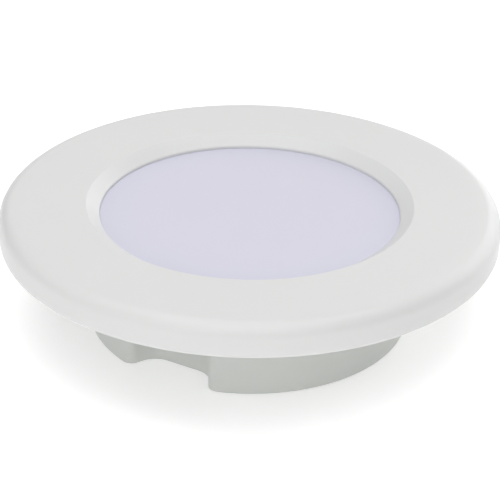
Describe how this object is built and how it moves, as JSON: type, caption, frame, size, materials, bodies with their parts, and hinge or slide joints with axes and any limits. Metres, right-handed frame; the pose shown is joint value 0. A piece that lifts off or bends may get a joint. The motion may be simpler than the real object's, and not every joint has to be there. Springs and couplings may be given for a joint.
{
  "type": "underwater pool light",
  "caption": "Round surface-mounted underwater light with a wide flat rim, a recessed opal lens, a short cylindrical hub with one notch, and a twist-lock wall bracket.",
  "frame": {"origin": "centre of the bracket's back plane, on the light's axis: the lowest point when it lies on its back", "axes": "+Z out of the wall, through the lens; -Y through the middle of the hub's notch, the light's bottom on a wall; +X completes a right-handed set"},
  "size_m": [0.15, 0.15, 0.0383],
  "materials": {
    "bracket_plastic": "satin moulded white ABS",
    "housing_plastic": "satin moulded white ABS",
    "ring_plastic": "smooth white ABS",
    "opal_lens": "opal polycarbonate, faintly lavender",
    "silicone": "soft translucent white",
    "stainless_screw": "plain stainless",
    "aluminium_plate": "mill finish",
    "pad_silicone": "soft matt",
    "led_board_mask": "white solder mask on an aluminium core",
    "led_package": "white package, yellow phosphor",
    "circuit_board": "green solder mask",
    "red_insulation": "satin",
    "black_insulation": "satin",
    "gland_plastic": "light grey nylon",
    "seal_rubber": "matt black",
    "capacitor_can": "bright can",
    "ferrite": "dark grey ferrite",
    "chip_epoxy": "matt black",
    "resistor_body": "black with tinned ends",
    "terminal_plastic": "blue nylon",
    "plug_plastic": "cream nylon",
    "potting": "dark grey, smooth"
  },
  "bodies": {
    "bracket": {"wall_bracket": "bracket_plastic"},
    "lamp": {"lamp_housing": "housing_plastic", "bayonet_ring": "housing_plastic", "engine_carrier": "bracket_plastic", "face_ring": "ring_plastic", "lens": "opal_lens", "lens_seal": "silicone", "face_ring_screws": "stainless_screw", "heat_spreader": "aluminium_plate", "thermal_pad": "pad_silicone", "led_board": "led_board_mask", "leds": "led_package", "led_board_screws": "stainless_screw", "driver_board": "circuit_board", "driver_board_screws": "stainless_screw", "led_lead_positive": "red_insulation", "led_lead_negative": "black_insulation", "gland_body": "gland_plastic", "gland_flange_seal": "seal_rubber", "gland_locknut": "gland_plastic", "gland_grommet": "seal_rubber", "gland_nut": "gland_plastic", "smoothing_capacitors": "capacitor_can", "filter_inductor": "ferrite", "driver_chips": "chip_epoxy", "sense_resistors": "resistor_body", "bridge_rectifier": "chip_epoxy", "supply_terminal_block": "terminal_plastic", "led_plug": "plug_plastic", "potting_resin": "potting"}
  },
  "joints": [
    {"name": "lamp_twist", "type": "hinge", "parent": "bracket", "child": "lamp", "pos_m": [0, 0, 0.0078], "axis": [0, 0, 1], "range_deg": [0, 31]}
  ]
}
